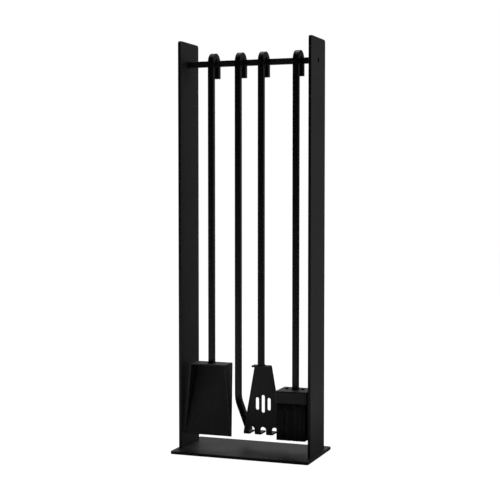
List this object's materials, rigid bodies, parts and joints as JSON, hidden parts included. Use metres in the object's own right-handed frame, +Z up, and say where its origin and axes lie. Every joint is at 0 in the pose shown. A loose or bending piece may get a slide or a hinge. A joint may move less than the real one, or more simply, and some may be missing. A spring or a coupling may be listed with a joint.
{
  "type": "fireplace tool set",
  "caption": "Free-standing fireplace tool set: shovel, poker, rake and brush with square hooked handles hang from a crossbar between flat uprights on a base plate.",
  "frame": {"origin": "on the floor, under the middle of the base plate", "axes": "+X along the crossbar to the brush, +Y to the back, +Z up"},
  "size_m": [0.251, 0.135, 0.716],
  "materials": {
    "stand_coat": "matt black powder coat on steel plate",
    "tool_coat": "matt black powder coat on square steel bar",
    "pan_coat": "matt black powder coat on folded sheet",
    "blade_coat": "matt black powder coat on bent sheet",
    "cap_coat": "matt black powder coat on folded sheet",
    "weld_coat": "coated weld bead",
    "black_screw": "black oxide steel",
    "pad_rubber": "matt rubber",
    "block_wood": "black stained hardwood",
    "bristle_fibre": "stiff black fibre bristles"
  },
  "bodies": {
    "stand": {"base_plate": "stand_coat", "foot_pads": "pad_rubber", "left_upright": "stand_coat", "right_upright": "stand_coat", "upright_foot_welds": "weld_coat", "crossbar": "stand_coat", "crossbar_screws": "black_screw"},
    "shovel": {"shovel_rod": "tool_coat", "shovel_weld": "weld_coat", "shovel_pan": "pan_coat"},
    "poker": {"poker_rod": "tool_coat"},
    "rake": {"rake_rod": "tool_coat", "rake_weld": "weld_coat", "rake_blade": "blade_coat"},
    "brush": {"brush_rod": "tool_coat", "brush_weld": "weld_coat", "brush_cap": "cap_coat", "brush_block": "block_wood", "brush_screws": "black_screw", "brush_bristles": "bristle_fibre"}
  },
  "joints": [
    {"name": "shovel_swing", "type": "hinge", "parent": "stand", "child": "shovel", "pos_m": [-0.0691, 0, 0.678], "axis": [1, 0, 0], "range_deg": [-40, 30]},
    {"name": "poker_swing", "type": "hinge", "parent": "stand", "child": "poker", "pos_m": [-0.0192, 0, 0.678], "axis": [1, 0, 0], "range_deg": [-40, 30]},
    {"name": "rake_swing", "type": "hinge", "parent": "stand", "child": "rake", "pos_m": [0.023, 0, 0.678], "axis": [1, 0, 0], "range_deg": [-40, 30]},
    {"name": "brush_swing", "type": "hinge", "parent": "stand", "child": "brush", "pos_m": [0.0856, 0, 0.678], "axis": [1, 0, 0], "range_deg": [-40, 30]}
  ]
}
